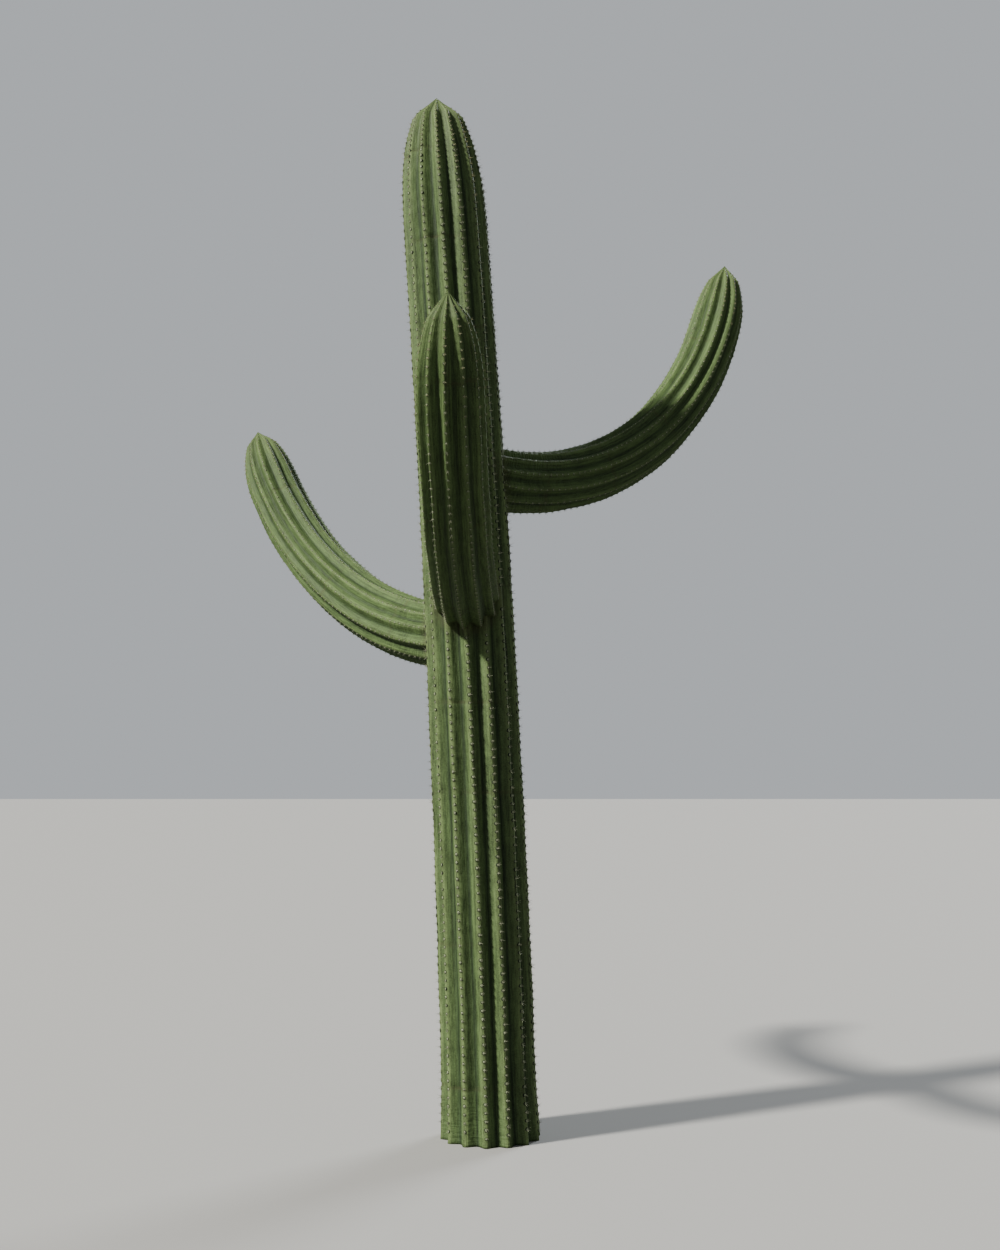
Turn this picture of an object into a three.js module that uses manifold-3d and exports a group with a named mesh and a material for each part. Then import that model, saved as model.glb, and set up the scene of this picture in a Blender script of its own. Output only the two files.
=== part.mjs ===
// Saguaro cactus: one ribbed column with three upturned arms, growing straight out of the ground.
// Millimetres, +Z up. The origin is the middle of the flat cut at ground level.
// +X is the plant's right, -Y its front.

import * as THREE from 'three';
import { mergeVertices } from 'three/addons/utils/BufferGeometryUtils.js';
import Module from 'manifold-3d';

// ---- What each limb's ribs and apex are given by ----
// ribs: how many; turn: where one crest stands, in degrees; depth: of the grooves, as a share of
// the crest radius; sharpness: above 1 the crests are narrower than the grooves, below 1 broader.
// cone: the pointed apex, with its length in crest radii, up to its shoulder, and the radius there
// as a share of the crest radius.

// ---- Trunk ----
const TRUNK_HEIGHT = 6340;
const TRUNK_LEAN_LEFT = 340;      // how far the tip stands to the left of the foot
const TRUNK_LEAN_FRONT = 190;     // and how far in front of it
const TRUNK_BOW = 0.42;           // 0 leans straight, 1 starts upright and leans ever more
const TRUNK_RADIUS_LOW = 290;     // crest radius just above the flare
const TRUNK_RADIUS_HIGH = 262;    // crest radius where the crown starts to close
const FLARE_EXTRA = 14;           // how much wider the foot is at the ground
const FLARE_HEIGHT = 420;
const TRUNK_RIBS = { count: 14, turn: -94, depth: 0.13, sharpness: 1.2 };
const TRUNK_CONE = { length: 0.55, radius: 0.62 };

// ---- Arms ----
// azimuth: compass heading of the arm's upright plane, from +X towards +Y, in degrees.
// rootHeight: where the arm's middle line leaves the trunk's. length: along the middle line.
// startSlope, endSlope: its climb at root and tip, in degrees.
// bend: 1 turns evenly all the way, more than 1 runs straighter at first and turns up later.
// A crest's turn is measured from the arm's level side.
const ARMS = [
  {
    name: 'left_arm', azimuth: 134, rootHeight: 2955, length: 2985,
    startSlope: 4.5, endSlope: 68, bend: 1, rootRadius: 209, tipRadius: 184,
    ribs: { count: 13, turn: 67, depth: 0.11, sharpness: 0.9 },
  },
  {
    name: 'right_arm', azimuth: 37, rootHeight: 3985, length: 3280,
    startSlope: -8.4, endSlope: 84, bend: 1, rootRadius: 202, tipRadius: 182,
    ribs: { count: 13, turn: 147, depth: 0.13, sharpness: 1 },
  },
  {
    name: 'front_arm', azimuth: -91.7, rootHeight: 3152, length: 2604,
    startSlope: 4, endSlope: 78, bend: 1.6, rootRadius: 198, tipRadius: 172,
    ribs: { count: 11, turn: 264.5, depth: 0.17, sharpness: 1.7 },
  },
];
const ARM_CONE = { length: 0.72, radius: 0.61 };
const ARM_SPLIT = 0.52;           // share of the arm's length at which elbow and upright meet
const ARM_DEGREES_PER_STEP = 8;   // how far the middle line turns between two rings
const ARM_LINE_STEPS = 60;        // short straight steps that add up to an arm's middle line

// ---- Rings and growing tips ----
const POINTS_PER_RIB = 4;
const TIP_LENGTH = 3.4;           // the whole closing tip, in crest radii
const TIP_EASE = 3;               // how fast it swells below the shoulder
// Where the closing tip has its rings below the cone, in crest radii before the apex.
const TIP_RINGS = [TIP_LENGTH, 2.3, 1.65, 1.25, 0.95];
const TRUNK_STEPS = 9;            // rings of the straight trunk between flare and tip
const FLARE_STEPS = 5;

const SEAT_GAP = 0.3;             // clearance between pieces that touch
const WELD_DISTANCE = 1e-4;       // corners closer than this are one

const SKIN = new THREE.MeshStandardMaterial({ color: 0x7c8f5c, roughness: 0.72, metalness: 0 });
const SKIN_ARM = new THREE.MeshStandardMaterial({ color: 0x81945f, roughness: 0.72, metalness: 0 });

// How much of the full radius is left at a distance before the apex.
function tipShare(distance, radius, cone) {
  const x = distance / radius;
  if (x < cone.length) return (cone.radius * x) / cone.length;
  const unswollen = Math.max(0, (TIP_LENGTH - x) / (TIP_LENGTH - cone.length));
  return 1 - (1 - cone.radius) * unswollen ** TIP_EASE;
}

// Where a tip has its rings, in crest radii before the apex.
function tipRings(cone) {
  return [...TIP_RINGS, cone.length];
}

// The rib wave around the stem, by the angle from a crest: 1 there, 1 less the depth in a groove.
function ribWave(angle, ribs) {
  const crest = ((1 + Math.cos(ribs.count * angle)) / 2) ** ribs.sharpness;
  return 1 - ribs.depth * (1 - crest);
}

// The trunk's middle line; t runs from 0 at the ground to 1 at the apex.
class TrunkLine extends THREE.Curve {
  getPoint(t, target = new THREE.Vector3()) {
    const left = TRUNK_LEAN_LEFT * ((1 - TRUNK_BOW) * t + TRUNK_BOW * t * t);
    return target.set(-left, -TRUNK_LEAN_FRONT * t, TRUNK_HEIGHT * t);
  }
}
const trunkLine = new TrunkLine();

// An arm's middle line: a bend in an upright plane, from the trunk's middle line outwards.
class ArmLine extends THREE.Curve {
  constructor(arm) {
    super();
    this.arm = arm;
    this.root = trunkLine.getPoint(arm.rootHeight / TRUNK_HEIGHT);
    this.heading = THREE.MathUtils.degToRad(arm.azimuth);
  }

  slope(t) {
    const { startSlope, endSlope, bend } = this.arm;
    return THREE.MathUtils.degToRad(startSlope + (endSlope - startSlope) * t ** bend);
  }

  // Adds up short steps of even length, each along the slope at its middle.
  getPoint(t, target = new THREE.Vector3()) {
    const step = t / ARM_LINE_STEPS;
    let out = 0;
    let up = 0;
    for (let i = 0; i < ARM_LINE_STEPS; i += 1) {
      const slope = this.slope((i + 0.5) * step);
      out += Math.cos(slope) * step * this.arm.length;
      up += Math.sin(slope) * step * this.arm.length;
    }
    target.set(Math.cos(this.heading) * out, Math.sin(this.heading) * out, up);
    return target.add(this.root);
  }

  // The ring's two directions: level across the arm, and square to it and to the middle line.
  ringAxes(t) {
    const across = new THREE.Vector3(-Math.sin(this.heading), Math.cos(this.heading), 0);
    const along = new THREE.Vector3(
      Math.cos(this.heading) * Math.cos(this.slope(t)),
      Math.sin(this.heading) * Math.cos(this.slope(t)),
      Math.sin(this.slope(t)),
    );
    return [across, across.clone().cross(along).negate()];
  }
}

// A closed stem through a row of rings. Each ring is { centre, axes, radius }.
// A stem that grows to a tip ends in one point, apex; any other ends in a flat cut.
function stemGeometry(rings, ribs, apex) {
  const count = ribs.count * POINTS_PER_RIB;
  const turn = THREE.MathUtils.degToRad(ribs.turn);
  const positions = [];
  const faces = [];
  for (const { centre, axes, radius } of rings) {
    for (let i = 0; i < count; i += 1) {
      const fromCrest = (i / count) * 2 * Math.PI;
      const angle = turn + fromCrest;
      const reach = radius * ribWave(fromCrest, ribs);
      const point = centre.clone()
        .addScaledVector(axes[0], reach * Math.cos(angle))
        .addScaledVector(axes[1], reach * Math.sin(angle));
      positions.push(...point.toArray());
    }
  }
  const foot = positions.length / 3;
  positions.push(...rings[0].centre.toArray());
  const head = foot + 1;
  positions.push(...(apex ?? rings.at(-1).centre).toArray());
  const top = (rings.length - 1) * count;
  for (let i = 0; i < count; i += 1) {
    const next = (i + 1) % count;
    for (let ring = 0; ring < top; ring += count) {
      faces.push(ring + i, ring + next, ring + count + next);
      faces.push(ring + i, ring + count + next, ring + count + i);
    }
    faces.push(foot, next, i);
    faces.push(head, top + i, top + next);
  }
  const geometry = new THREE.BufferGeometry();
  geometry.setAttribute('position', new THREE.Float32BufferAttribute(positions, 3));
  geometry.setIndex(faces);
  return geometry;
}

// ---- Trunk solid ----
function trunkRadius(height) {
  const taper = THREE.MathUtils.lerp(TRUNK_RADIUS_LOW, TRUNK_RADIUS_HIGH, height / TRUNK_HEIGHT);
  const flare = FLARE_EXTRA * Math.max(0, 1 - height / FLARE_HEIGHT) ** 2;
  return (taper + flare) * tipShare(TRUNK_HEIGHT - height, TRUNK_RADIUS_HIGH, TRUNK_CONE);
}

function trunkHeights() {
  const tipStart = TRUNK_HEIGHT - TIP_LENGTH * TRUNK_RADIUS_HIGH;
  const heights = [];
  for (let i = 0; i < FLARE_STEPS; i += 1) heights.push((FLARE_HEIGHT * i) / FLARE_STEPS);
  for (let i = 0; i < TRUNK_STEPS; i += 1) {
    heights.push(THREE.MathUtils.lerp(FLARE_HEIGHT, tipStart, i / TRUNK_STEPS));
  }
  for (const x of tipRings(TRUNK_CONE)) heights.push(TRUNK_HEIGHT - x * TRUNK_RADIUS_HIGH);
  return heights;
}

// Level rings, so that the foot is a flat cut. swell fattens the trunk evenly.
function trunkGeometry(swell = 0) {
  const axes = [new THREE.Vector3(1, 0, 0), new THREE.Vector3(0, 1, 0)];
  const rings = trunkHeights().map((height) => ({
    centre: trunkLine.getPoint(height / TRUNK_HEIGHT),
    axes,
    radius: trunkRadius(height) + swell,
  }));
  return stemGeometry(rings, TRUNK_RIBS, trunkLine.getPoint(1));
}

// ---- Arm solids ----
function armGeometry(arm, from, to) {
  const line = new ArmLine(arm);
  const tipStart = 1 - (TIP_LENGTH * arm.tipRadius) / arm.length;
  const growsToTip = to === 1;
  const end = growsToTip ? tipStart : to;
  const turned = Math.abs(arm.endSlope - arm.startSlope) * (end - from);
  const steps = Math.max(1, Math.round(turned / ARM_DEGREES_PER_STEP));
  const shares = [];
  for (let i = 0; i < steps; i += 1) shares.push(THREE.MathUtils.lerp(from, end, i / steps));
  if (growsToTip) {
    for (const x of tipRings(ARM_CONE)) shares.push(1 - (x * arm.tipRadius) / arm.length);
  } else {
    shares.push(to);
  }
  const rings = shares.map((t) => ({
    centre: line.getPoint(t),
    axes: line.ringAxes(t),
    radius: THREE.MathUtils.lerp(arm.rootRadius, arm.tipRadius, t)
      * tipShare((1 - t) * arm.length, arm.tipRadius, ARM_CONE),
  }));
  return stemGeometry(rings, arm.ribs, growsToTip ? line.getPoint(1) : null);
}

// ---- Cutting an arm's root to the trunk ----
const wasm = await Module();
wasm.setup();

function toSolid(geometry) {
  const bare = mergeVertices(geometry, WELD_DISTANCE);
  return new wasm.Manifold(new wasm.Mesh({
    numProp: 3,
    vertProperties: new Float32Array(bare.attributes.position.array),
    triVerts: new Uint32Array(bare.index.array),
  }));
}

function toGeometry(solid) {
  const mesh = solid.getMesh();
  const geometry = new THREE.BufferGeometry();
  geometry.setAttribute('position', new THREE.BufferAttribute(mesh.vertProperties, 3));
  geometry.setIndex(new THREE.BufferAttribute(mesh.triVerts, 1));
  return geometry;
}

const cactus = new THREE.Group();

function addPiece(name, geometry, material) {
  geometry.computeVertexNormals();
  const mesh = new THREE.Mesh(geometry, material);
  mesh.name = name;
  cactus.add(mesh);
}

addPiece('trunk', trunkGeometry(), SKIN);
const trunkRoom = toSolid(trunkGeometry(SEAT_GAP));

for (const arm of ARMS) {
  const halfGap = SEAT_GAP / 2 / arm.length;
  const elbow = toSolid(armGeometry(arm, 0, ARM_SPLIT - halfGap)).subtract(trunkRoom);
  addPiece(`${arm.name}_elbow`, toGeometry(elbow), SKIN_ARM);
  addPiece(`${arm.name}_upright`, armGeometry(arm, ARM_SPLIT + halfGap, 1), SKIN_ARM);
}

export default cactus;
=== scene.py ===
# %% [markdown]
# # A saguaro cactus
# The finished plant is a ribbed column with three ribbed arms, and rows of spine clusters along its ribs.
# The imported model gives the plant's true sizes. This file grows a finer skin over each limb, sets the
# spine clusters on the ribs, and gives every surface its finish. All lengths are in metres.

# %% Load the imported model
import math

import bpy
import numpy as np
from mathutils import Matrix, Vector
from mathutils.bvhtree import BVHTree


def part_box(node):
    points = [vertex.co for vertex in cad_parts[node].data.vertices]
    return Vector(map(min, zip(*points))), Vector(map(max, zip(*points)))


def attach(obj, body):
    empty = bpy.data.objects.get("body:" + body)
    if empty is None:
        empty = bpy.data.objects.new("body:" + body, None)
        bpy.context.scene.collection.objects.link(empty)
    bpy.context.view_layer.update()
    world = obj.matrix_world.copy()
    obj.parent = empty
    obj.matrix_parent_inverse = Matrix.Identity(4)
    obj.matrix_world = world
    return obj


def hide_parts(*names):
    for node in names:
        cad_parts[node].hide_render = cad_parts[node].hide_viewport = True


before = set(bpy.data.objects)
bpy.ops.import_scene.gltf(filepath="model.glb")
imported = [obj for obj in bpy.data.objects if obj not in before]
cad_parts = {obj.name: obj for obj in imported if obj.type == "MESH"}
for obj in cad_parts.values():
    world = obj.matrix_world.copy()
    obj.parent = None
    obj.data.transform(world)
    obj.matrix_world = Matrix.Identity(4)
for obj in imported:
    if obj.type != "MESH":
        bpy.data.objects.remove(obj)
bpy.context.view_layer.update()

print("solids:", sorted(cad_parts))

# %% [markdown]
# ## Camera, floor and light
# The plant is seen from nine metres away at eye height, looking slightly up, against a plain pale room. A
# far lamp on the left stands for the sun, and a softer one, behind on the right, keeps the far side
# readable. Floor and room throw back less light than they show, because ribs can be read only where their
# shaded sides stay deep.

# %% Camera
EYE = Vector((0.0564, -9.046, 2.077))
LOOK_UP_DEGREES = 6.13
LENS_MM = 42.67

eye_data = bpy.data.cameras.new("eye")
eye_data.lens = LENS_MM
eye_data.sensor_width = 36
eye = bpy.data.objects.new("eye", eye_data)
eye.location = EYE
eye.rotation_euler = (math.radians(90 + LOOK_UP_DEGREES), 0, 0)
bpy.context.collection.objects.link(eye)
bpy.context.scene.camera = eye
print("eye height", EYE.z, "distance", -EYE.y)

# %% Floor, room and lamps
FLOOR_SIDE = 400
FLOOR_ROUGHNESS = 0.9
FLOOR_SEEN = (0.38, 0.376, 0.364, 1)
FLOOR_LIT = (0.10, 0.099, 0.096, 1)    # what it throws back on the plant
ROOM_COLOUR = (0.78, 0.82, 0.86, 1)
ROOM_FILL = 0.26         # how strongly the room lights the plant
ROOM_BACKDROP = 0.60     # how bright the room looks behind it


def switch_to(mode):
    bpy.ops.object.mode_set(mode=mode)


def resize(factors, centre=(0, 0, 0)):
    """Changes the size of what is selected, about a centre."""
    bpy.ops.transform.resize(value=factors, center_override=centre)


def deselect_all():
    """An operator acts on all that is selected, so each piece starts from nothing selected."""
    if bpy.context.object and bpy.context.object.mode != "OBJECT":
        switch_to("OBJECT")
    for other in bpy.context.selected_objects:
        other.select_set(False)


def take_up(piece):
    """Makes one piece the active one and the only one selected."""
    deselect_all()
    bpy.context.view_layer.objects.active = piece
    piece.select_set(True)


def looked_at(tree):
    """1 where the camera looks straight at a thing, 0 where the thing only lights another."""
    return tree.nodes.new("ShaderNodeLightPath").outputs["Is Camera Ray"]


def new_material(name):
    """A material, its node tree and its shader."""
    paint = bpy.data.materials.new(name)
    paint.use_nodes = True
    return paint, paint.node_tree, paint.node_tree.nodes["Principled BSDF"]


def floor_material():
    paint, tree, shader = new_material("pale_floor")
    shader.inputs["Roughness"].default_value = FLOOR_ROUGHNESS
    tones = tree.nodes.new("ShaderNodeMix")
    tones.data_type = "RGBA"
    tones.inputs["A"].default_value = FLOOR_LIT
    tones.inputs["B"].default_value = FLOOR_SEEN
    tree.links.new(looked_at(tree), tones.inputs["Factor"])
    tree.links.new(tones.outputs["Result"], shader.inputs["Base Color"])
    return paint


def paint_room(tree):
    """Two backgrounds: a dim one that lights the shaded side, and a pale one that is only looked at."""
    fill_light = tree.nodes["Background"]
    backdrop = tree.nodes.new("ShaderNodeBackground")
    for background, strength in ((fill_light, ROOM_FILL), (backdrop, ROOM_BACKDROP)):
        background.inputs["Color"].default_value = ROOM_COLOUR
        background.inputs["Strength"].default_value = strength
    either = tree.nodes.new("ShaderNodeMixShader")
    ends = (looked_at(tree), fill_light.outputs[0], backdrop.outputs[0])
    for end, socket in zip(ends, either.inputs):
        tree.links.new(end, socket)
    tree.links.new(either.outputs[0], tree.nodes["World Output"].inputs["Surface"])


def soft_lamp(name, azimuth, height, spread, strength, colour):
    """A lamp so far off that it lights root and tip alike. Its spread is how wide it looks, in degrees."""
    lamp_data = bpy.data.lights.new(name, "SUN")
    lamp_data.angle = math.radians(spread)
    lamp_data.energy = strength
    lamp_data.color = colour
    lamp = bpy.data.objects.new(name, lamp_data)
    lamp.rotation_euler = (math.radians(90 - height), 0, math.radians(azimuth + 90))
    bpy.context.collection.objects.link(lamp)


deselect_all()
bpy.ops.mesh.primitive_plane_add(size=FLOOR_SIDE)
floor = bpy.context.object
floor.name = "floor"
floor.data.materials.append(floor_material())
room = bpy.data.worlds.new("pale_room")
bpy.context.scene.world = room
room.use_nodes = True
paint_room(room.node_tree)
soft_lamp("key_lamp", azimuth=210, height=41.3, spread=5, strength=6.4, colour=(1.0, 0.97, 0.9))
soft_lamp("back_lamp", azimuth=55, height=35, spread=20, strength=2.2, colour=(0.92, 0.96, 1.0))

# %% [markdown]
# ## The lines the limbs grow along
# The trunk rises from the ground with a slight lean. Each arm leaves it almost level and turns upwards in
# one upright plane. Both are written as small functions of the share of the limb's length, with the same
# sizes as the solids, because every later step needs them: the skin, the rows of spines and the finish.

# %% The trunk's line
TRUNK_HEIGHT = 6.340
TRUNK_LEAN_LEFT = 0.340
TRUNK_LEAN_FRONT = 0.190
TRUNK_BOW = 0.42
TRUNK_RADIUS_LOW = 0.290
TRUNK_RADIUS_HIGH = 0.262
FLARE_EXTRA = 0.014
FLARE_HEIGHT = 0.420
TIP_LENGTH = 3.4       # the closing tip and the pointed cone on it, in crest radii
TIP_EASE = 3


def tip_share(stem, distance):
    """How much of the full radius is left at a distance before the apex."""
    x = distance / stem.tip_radius
    cone_length, cone_radius = stem.cone
    if x < cone_length:
        return cone_radius * x / cone_length
    unswollen = max(0.0, (TIP_LENGTH - x) / (TIP_LENGTH - cone_length))
    return 1 - (1 - cone_radius) * unswollen ** TIP_EASE


class Trunk:
    name = "trunk"
    rib_depth = 0.13       # as a share of the radius
    rib_sharpness = 1.2    # above 1 the crests are narrow and the grooves wide, below 1 the other way round
    cone = (0.55, 0.62)    # the apex's length and the radius at its shoulder, in crest radii
    nodes = ("trunk",)
    ribs = 14
    turn = math.radians(-94)
    length = TRUNK_HEIGHT
    tip_radius = TRUNK_RADIUS_HIGH

    def centre(self, t):
        left = TRUNK_LEAN_LEFT * ((1 - TRUNK_BOW) * t + TRUNK_BOW * t * t)
        return Vector((-left, -TRUNK_LEAN_FRONT * t, TRUNK_HEIGHT * t))

    def axes(self, t):
        return Vector((1, 0, 0)), Vector((0, 1, 0))

    def radius(self, t):
        height = TRUNK_HEIGHT * t
        taper = TRUNK_RADIUS_LOW + (TRUNK_RADIUS_HIGH - TRUNK_RADIUS_LOW) * t
        flare = FLARE_EXTRA * max(0.0, 1 - height / FLARE_HEIGHT) ** 2
        return (taper + flare) * tip_share(self, TRUNK_HEIGHT - height)


trunk = Trunk()

# %% The arms' lines
LINE_STEPS = 60


class Arm:
    cone = (0.72, 0.61)

    def __init__(self, side, azimuth, root_height, length, slopes, bend, radii, ribs, turn, profile):
        self.name = side + "_arm"
        self.nodes = (self.name + "_elbow", self.name + "_upright")
        self.heading = math.radians(azimuth)
        self.root = trunk.centre(root_height / TRUNK_HEIGHT)
        self.length = length
        self.slopes = slopes
        self.bend = bend
        self.radii = radii
        self.tip_radius = radii[1]
        self.ribs = ribs
        self.rib_depth, self.rib_sharpness = profile
        self.turn = math.radians(turn)

    def slope(self, t):
        start, end = self.slopes
        return math.radians(start + (end - start) * t ** self.bend)

    def reach(self, t):
        """How far out and how far up the line has come, as the sum of short straight steps."""
        step = t / LINE_STEPS
        out = up = 0.0
        for i in range(LINE_STEPS):
            slope = self.slope((i + 0.5) * step)
            out += math.cos(slope) * step * self.length
            up += math.sin(slope) * step * self.length
        return out, up

    def centre(self, t):
        out, up = self.reach(t)
        return self.root + Vector((math.cos(self.heading) * out, math.sin(self.heading) * out, up))

    def axes(self, t):
        slope = self.slope(t)
        across = Vector((-math.sin(self.heading), math.cos(self.heading), 0))
        along = Vector((math.cos(self.heading) * math.cos(slope),
                        math.sin(self.heading) * math.cos(slope), math.sin(slope)))
        return across, -across.cross(along)

    def radius(self, t):
        low, high = self.radii
        return (low + (high - low) * t) * tip_share(self, (1 - t) * self.length)


ARMS = [
    Arm("left", 134, 2.955, 2.985, (4.5, 68), 1, (0.209, 0.184), 13, 67, (0.11, 0.9)),
    Arm("right", 37, 3.985, 3.280, (-8.4, 84), 1, (0.202, 0.182), 13, 147, (0.13, 1.0)),
    Arm("front", -91.7, 3.152, 2.604, (4, 78), 1.6, (0.198, 0.172), 11, 264.5, (0.17, 1.7)),
]
STEMS = [trunk] + ARMS
for arm in ARMS:
    solid_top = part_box(arm.nodes[1])[1].z
    print(arm.name, "tip", [round(v, 3) for v in arm.centre(1)], "solid's top", round(solid_top, 3))

# %% [markdown]
# ## Growing a limb's skin
# A limb could be swept along a curve, but its ribs must run unbroken from root to tip and draw together at
# the apex. So it is grown as the plant grows: one ring is laid at the root and pinched into ribs, then it
# is extruded a short way at a time, turned and narrowed at each step, and gathered to a point at the end.
# A Subdivision Surface modifier then rounds the ribs.

# %% Laying the first ring
POINTS_PER_RIB = 6
ROUNDING_GAIN = 1.32    # rounding a rib flattens it, so the ring is pinched this much deeper first


def pinch_at(stem, angle):
    """1 on a rib's crest, and 1 less the depth in the groove beside it."""
    crest = ((1 + math.cos(stem.ribs * (angle - stem.turn))) / 2) ** stem.rib_sharpness
    return 1 - stem.rib_depth * ROUNDING_GAIN * (1 - crest)


def choose_points(mesh_data, chosen):
    """Selects these points in edit mode, by number, and no edge or face but theirs."""
    switch_to("OBJECT")
    for parts in (mesh_data.edges, mesh_data.polygons):
        parts.foreach_set("select", np.zeros(len(parts), bool))
    flags = np.zeros(len(mesh_data.vertices), bool)
    flags[chosen] = True
    mesh_data.vertices.foreach_set("select", flags)
    switch_to("EDIT")


def first_ring(stem, start):
    """A ring of points pinched into ribs, lying flat round the origin, facing up."""
    count = stem.ribs * POINTS_PER_RIB
    deselect_all()
    bpy.ops.mesh.primitive_circle_add(vertices=count, radius=stem.radius(start))
    skin = bpy.context.object
    skin.name = stem.name + "_skin"
    skin.data.name = skin.name
    switch_to("EDIT")
    bpy.ops.mesh.select_mode(type="VERT")
    for step in range(1, POINTS_PER_RIB):
        angle = stem.turn + 2 * math.pi * step / count
        pinch = pinch_at(stem, angle)
        choose_points(skin.data, np.arange(step, count, POINTS_PER_RIB))
        resize((pinch, pinch, 1))
    bpy.ops.mesh.select_all(action="SELECT")
    return skin


def turn_about(axis_name, angle, centre):
    """Turns what is selected by the right-hand rule. With no window the operator turns the other way."""
    bpy.ops.transform.rotate(value=-angle, orient_axis=axis_name, center_override=centre)


# %% [markdown]
# ### Where the rings go
# Rings stand closer where the limb changes quickly: in the closing tip they follow the cone and its
# shoulder.

# %% Ring places
RING_STEP = 0.12
TIP_PLACES = (2.9, 2.4, 1.95, 1.55, 1.2, 0.95)          # crest radii before the apex
CONE_PLACES = (1.1, 1.0, 0.9, 0.68, 0.43, 0.2, 0.055)   # the same, but in lengths of the cone


def ring_places(stem, start):
    """Shares of the limb's length at which it has a ring, from its start to just before the apex."""
    tip_start = 1 - TIP_LENGTH * stem.tip_radius / stem.length
    steps = max(2, round((tip_start - start) * stem.length / RING_STEP))
    places = list(np.linspace(start, tip_start, steps + 1))
    before_apex = TIP_PLACES + tuple(stem.cone[0] * share for share in CONE_PLACES)
    return places + [1 - x * stem.tip_radius / stem.length for x in before_apex]


for stem in STEMS:
    print(stem.name, "rings:", len(ring_places(stem, 0)))

# %% Growing the trunk's ring


def gather_tip(rest_of_way):
    """Draws the last ring up to the apex and makes it one point there."""
    bpy.ops.mesh.extrude_region_move(TRANSFORM_OT_translate={"value": rest_of_way})
    bpy.ops.mesh.merge(type="CENTER")
    switch_to("OBJECT")


def grow_trunk_skin():
    """The trunk's rings stay level, so each step is a lift, a small shift and a change of width."""
    skin = first_ring(trunk, 0)
    turn_about("Z", trunk.turn - math.pi / 2, (0, 0, 0))
    places = ring_places(trunk, 0)
    for before, after in zip(places, places[1:]):
        lift = trunk.centre(after) - trunk.centre(before)
        bpy.ops.mesh.extrude_region_move(TRANSFORM_OT_translate={"value": lift})
        narrow = trunk.radius(after) / trunk.radius(before)
        resize((narrow, narrow, 1), trunk.centre(after))
    gather_tip(trunk.centre(1) - trunk.centre(places[-1]))
    return skin


skins = {trunk: grow_trunk_skin()}
print("trunk cage:", len(skins[trunk].data.vertices), "points")

# %% [markdown]
# ### An arm's rings turn as they go
# An arm is grown in the plane of x and z, as if it left the trunk towards +X. The first ring is stood up
# to face the way the arm leaves. Each step then moves on along the line and tips the ring back by as much
# as the line has turned, so that it always lies square to the limb. The grown arm is turned to its own
# heading and moved to its root. It starts inside the trunk, where its end is hidden.

# %% Growing the arms' rings
ARM_START = 0.05


def grow_arm_skin(arm):
    skin = first_ring(arm, ARM_START)
    turn_about("Z", arm.turn, (0, 0, 0))
    turn_about("Y", math.pi / 2 - arm.slope(ARM_START), (0, 0, 0))
    places = ring_places(arm, ARM_START)
    centres = [Vector((out, 0, up)) for out, up in map(arm.reach, places + [1])]
    bpy.ops.transform.translate(value=centres[0])
    for i in range(1, len(places)):
        bpy.ops.mesh.extrude_region_move(
            TRANSFORM_OT_translate={"value": centres[i] - centres[i - 1]})
        turn_about("Y", arm.slope(places[i - 1]) - arm.slope(places[i]), centres[i])
        narrow = arm.radius(places[i]) / arm.radius(places[i - 1])
        resize((narrow,) * 3, centres[i])
    gather_tip(centres[-1] - centres[-2])
    switch_to("EDIT")
    bpy.ops.mesh.select_all(action="SELECT")
    turn_about("Z", arm.heading, (0, 0, 0))
    bpy.ops.transform.translate(value=arm.root)
    switch_to("OBJECT")
    return skin


for arm in ARMS:
    skins[arm] = grow_arm_skin(arm)
    print(arm.name, "cage:", len(skins[arm].data.vertices), "points")


# %% [markdown]
# ### Rounding and refining
# The grown cage has six points to a rib, which is easy to shape but leaves the ribs angular. A Subdivision
# Surface modifier rounds it. The long edges that run along the limb are then cut in four, because the
# relief that follows has a bump every few centimetres and needs points to lift.

# %% Rounding the ribs
LENGTHWISE_CUTS = 3


def round_ribs(skin):
    take_up(skin)
    rounding = skin.modifiers.new("rounding", "SUBSURF")
    rounding.levels = rounding.render_levels = 1
    bpy.ops.object.modifier_apply(modifier=rounding.name)


for stem, skin in skins.items():
    round_ribs(skin)
    print(skin.name, "after rounding:", len(skin.data.polygons), "faces")

# %% [markdown]
# ### Knowing where a point lies on its limb
# From here on, each step asks the same two things of a point: how far along the limb is it, and on which
# side? The nearest place on the limb's line answers both.

# %% Places on a limb
LINE_SAMPLES = 400
POINTS_AT_ONCE = 5000    # a limit on the memory it takes to measure every point against every place


def numbers_of(parts, field):
    """Three numbers for each point or face, as rows."""
    found = np.empty(len(parts) * 3, np.float32)
    parts.foreach_get(field, found)
    return found.reshape(-1, 3).astype(float)


def points_of(skin):
    return numbers_of(skin.data.vertices, "co")


def line_of(stem):
    """The limb's line as numbers: shares of its length, centres, directions across and radii."""
    shares = np.linspace(0, 1, LINE_SAMPLES + 1)
    centres = np.array([stem.centre(t) for t in shares])
    across = np.array([[list(v) for v in stem.axes(t)] for t in shares])
    return shares, centres, across, [stem.radius(t) for t in shares]


LINES = {stem: line_of(stem) for stem in STEMS}


def read_off(stem, rows, t):
    """Rows of three numbers along the limb's line, read off at other shares of its length."""
    return np.stack([np.interp(t, LINES[stem][0], rows[:, i]) for i in range(3)], 1)


def radius_at(stem, t):
    return np.interp(t, LINES[stem][0], LINES[stem][3])


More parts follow.
